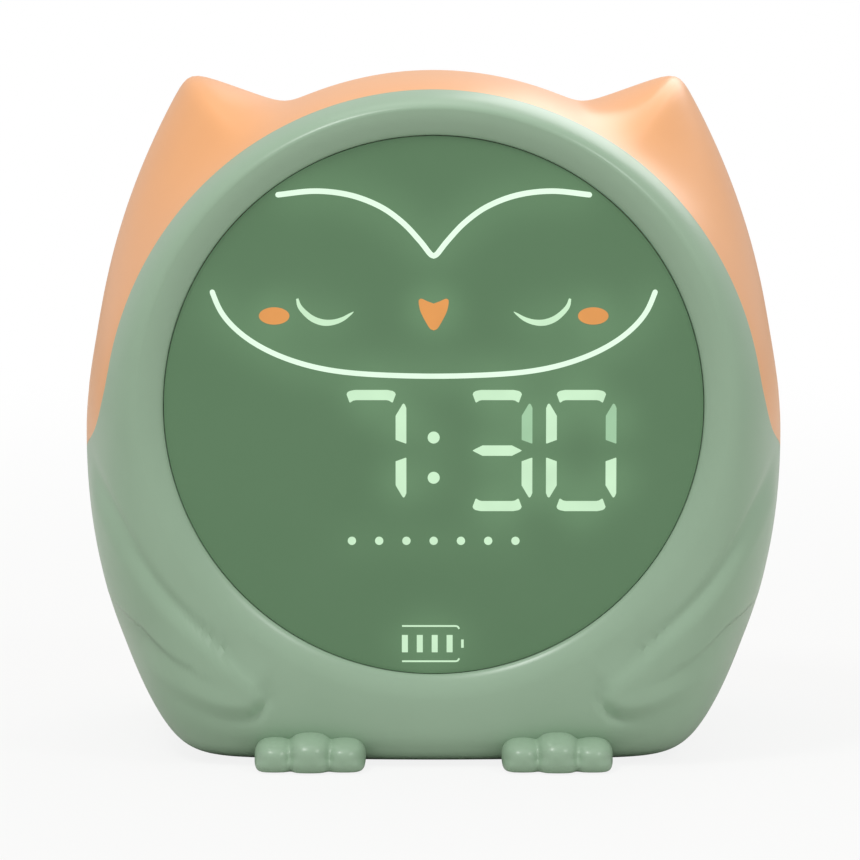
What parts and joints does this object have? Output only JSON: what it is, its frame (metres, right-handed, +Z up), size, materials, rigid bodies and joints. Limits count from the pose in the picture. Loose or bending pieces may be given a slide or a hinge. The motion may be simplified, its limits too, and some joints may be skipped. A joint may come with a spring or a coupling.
{
  "type": "night light alarm clock",
  "caption": "Round-faced owl clock with ears, wings and feet; lit segment digits and face icons behind a tinted disc; press keys, slide switch and charging socket at the back.",
  "frame": {"origin": "on the table under the middle of the body's box", "axes": "+Z up, the face looks along -Y, +X to the right as the face is seen"},
  "size_m": [0.1402, 0.1032, 0.1326],
  "materials": {
    "green_abs": "fine satin moulding",
    "peach_abs": "fine satin moulding",
    "orange_abs": "smooth moulding",
    "button_abs": "satin",
    "white_plastic": "satin",
    "black_abs": "matt",
    "tinted_acrylic": "polished",
    "black_foam_tape": "matt",
    "diffuser_polyester": "frosted",
    "glass_epoxy_board": "solder mask",
    "led_package": "clear resin",
    "switch_metal": "tinned",
    "black_epoxy": "matt",
    "capacitor_can": "bright",
    "zinc_steel": "zinc plated",
    "speaker_steel": "pressed",
    "speaker_paper": "matt",
    "magnet_steel": "plated",
    "battery_sleeve": "heat-shrunk film",
    "lead_insulation": "smooth",
    "ribbon_film": "smooth",
    "grey_rubber": "matt"
  },
  "bodies": {
    "root": {"front_housing": "green_abs", "rear_housing": "peach_abs", "left_foot": "orange_abs", "right_foot": "orange_abs", "rubber_pads": "grey_rubber", "case_screws": "zinc_steel", "face_lens": "tinted_acrylic", "lens_tape": "black_foam_tape", "diffuser_film": "diffuser_polyester", "icon_light_box": "black_abs", "display_board": "glass_epoxy_board", "display_leds": "led_package", "night_light_leds": "led_package", "display_screws": "zinc_steel", "main_board": "glass_epoxy_board", "switch_bodies": "black_abs", "power_switch": "switch_metal", "usb_socket": "switch_metal", "clock_chip": "black_epoxy", "clock_crystal": "switch_metal", "supply_capacitor": "capacitor_can", "board_screws": "zinc_steel", "speaker_gasket": "black_foam_tape", "speaker_basket": "speaker_steel", "speaker_cone": "speaker_paper", "speaker_magnet": "magnet_steel", "speaker_screws": "zinc_steel", "battery_cell": "battery_sleeve", "battery_clamp": "white_plastic", "clamp_screws": "zinc_steel", "lead_sockets": "white_plastic", "lead_plugs": "white_plastic", "battery_lead": "lead_insulation", "speaker_lead": "lead_insulation", "ribbon_sockets": "white_plastic", "display_ribbon": "ribbon_film"},
    "set_key": {"set_button": "button_abs", "set_plunger": "white_plastic"},
    "alarm_key": {"alarm_button": "button_abs", "alarm_plunger": "white_plastic"},
    "light_key": {"light_button": "button_abs", "light_plunger": "white_plastic"},
    "minus_key": {"minus_button": "button_abs", "minus_plunger": "white_plastic"},
    "plus_key": {"plus_button": "button_abs", "plus_plunger": "white_plastic"},
    "power_knob": {"power_slider": "white_plastic"}
  },
  "joints": [
    {"name": "set_press", "type": "slide", "parent": "root", "child": "set_key", "axis": [0, -1, 0], "range_m": [0, 0.0005], "stiffness_N_per_m": 400},
    {"name": "alarm_press", "type": "slide", "parent": "root", "child": "alarm_key", "axis": [0, -1, 0], "range_m": [0, 0.0005], "stiffness_N_per_m": 400},
    {"name": "light_press", "type": "slide", "parent": "root", "child": "light_key", "axis": [0, -1, 0], "range_m": [0, 0.0005], "stiffness_N_per_m": 400},
    {"name": "minus_press", "type": "slide", "parent": "root", "child": "minus_key", "axis": [0, -1, 0], "range_m": [0, 0.0005], "stiffness_N_per_m": 400},
    {"name": "plus_press", "type": "slide", "parent": "root", "child": "plus_key", "axis": [0, -1, 0], "range_m": [0, 0.0005], "stiffness_N_per_m": 400},
    {"name": "power_slide", "type": "slide", "parent": "root", "child": "power_knob", "axis": [1, 0, 0], "range_m": [-0.001, 0.001]}
  ]
}
